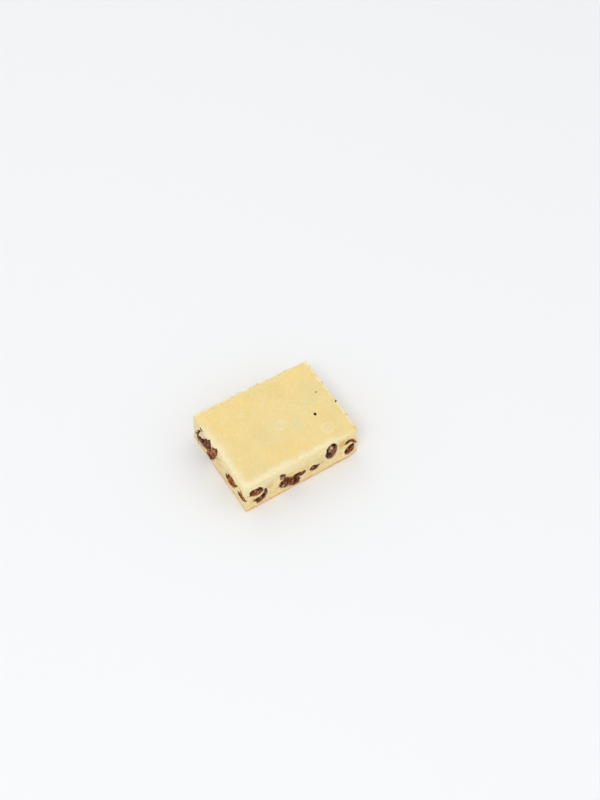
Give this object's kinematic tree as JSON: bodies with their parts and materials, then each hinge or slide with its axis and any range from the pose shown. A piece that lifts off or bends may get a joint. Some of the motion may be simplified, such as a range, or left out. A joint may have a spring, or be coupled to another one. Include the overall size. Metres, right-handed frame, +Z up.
{
  "type": "curd cheese bake with raisins",
  "caption": "Hand-cut rectangular portion of pale baked curd cheese with a smooth yellow top, soft front edges and raisins standing in its cut sides; it rests flat on its underside.",
  "frame": {"origin": "centre of the whole part's bounding box, at the flat underside", "axes": "+X along the long cut side, +Y along the short cut side towards the back, +Z up; the side facing -Y is the long cut side that shows in the picture and the side facing -X the short one"},
  "size_m": [0.0848, 0.0656, 0.0254],
  "materials": {
    "curd": "pale yellow baked curd, satin on top, creamy and finely crumbed on the cut sides",
    "raisin": "dark brown wrinkled skin, moist and glossy"
  },
  "bodies": {
    "root": {"curd_bake": "curd", "raisin_front_1": "raisin", "raisin_front_2": "raisin", "raisin_front_3": "raisin", "raisin_front_4": "raisin", "raisin_front_5": "raisin", "raisin_front_6": "raisin", "raisin_front_7": "raisin", "raisin_front_8": "raisin", "raisin_front_9": "raisin", "raisin_left_1": "raisin", "raisin_left_2": "raisin", "raisin_left_3": "raisin", "raisin_left_4": "raisin", "raisin_left_5": "raisin", "raisin_left_6": "raisin", "raisin_left_7": "raisin", "raisin_back_1": "raisin", "raisin_back_2": "raisin", "raisin_back_3": "raisin", "raisin_back_4": "raisin", "raisin_back_5": "raisin", "raisin_back_6": "raisin", "raisin_back_7": "raisin", "raisin_right_1": "raisin", "raisin_right_2": "raisin", "raisin_right_3": "raisin", "raisin_right_4": "raisin", "raisin_right_5": "raisin"}
  },
  "joints": []
}
